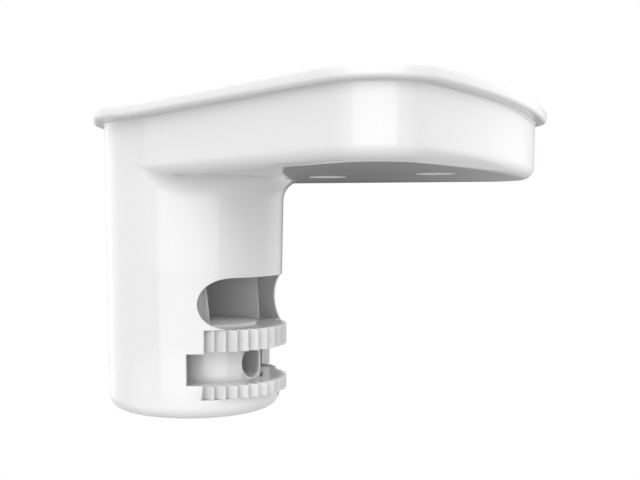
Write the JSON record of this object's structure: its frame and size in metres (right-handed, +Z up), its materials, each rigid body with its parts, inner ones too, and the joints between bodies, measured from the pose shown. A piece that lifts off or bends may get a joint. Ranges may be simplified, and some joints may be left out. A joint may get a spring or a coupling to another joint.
{
  "type": "ceiling mount bracket",
  "caption": "White moulded ceiling bracket: a shallow tapered tray for screws and a hollow hanging post, cut open at the side round a fixed spindle with toothed thumbwheels.",
  "frame": {"origin": "on the axis of the round post, in the plane of the ceiling that the tray's rim lies against", "axes": "+Z up into the ceiling; +X from the post along the tray to its free end, the direction in which the tray widens; +Y completes the right-handed frame, and the bracket is symmetric about the XZ plane"},
  "size_m": [0.0825, 0.074, 0.0553],
  "materials": {
    "bracket_white": "smooth white moulded plastic with a soft satin shine",
    "spindle_white": "smooth white moulded plastic with a soft shine",
    "wheel_white": "smooth white moulded plastic, a little glossier than the bracket"
  },
  "bodies": {
    "bracket": {"bracket_body": "bracket_white", "spindle": "spindle_white"},
    "upper_wheel": {"upper_thumbwheel": "wheel_white"},
    "lower_wheel": {"lower_thumbwheel": "wheel_white"}
  },
  "joints": [
    {"name": "upper_wheel_turn", "type": "hinge", "parent": "bracket", "child": "upper_wheel", "pos_m": [0.0046, 0, -0.0395], "axis": [0, 0, 1], "continuous": true},
    {"name": "lower_wheel_turn", "type": "hinge", "parent": "bracket", "child": "lower_wheel", "pos_m": [0.0046, 0, -0.04934], "axis": [0, 0, 1], "continuous": true}
  ]
}
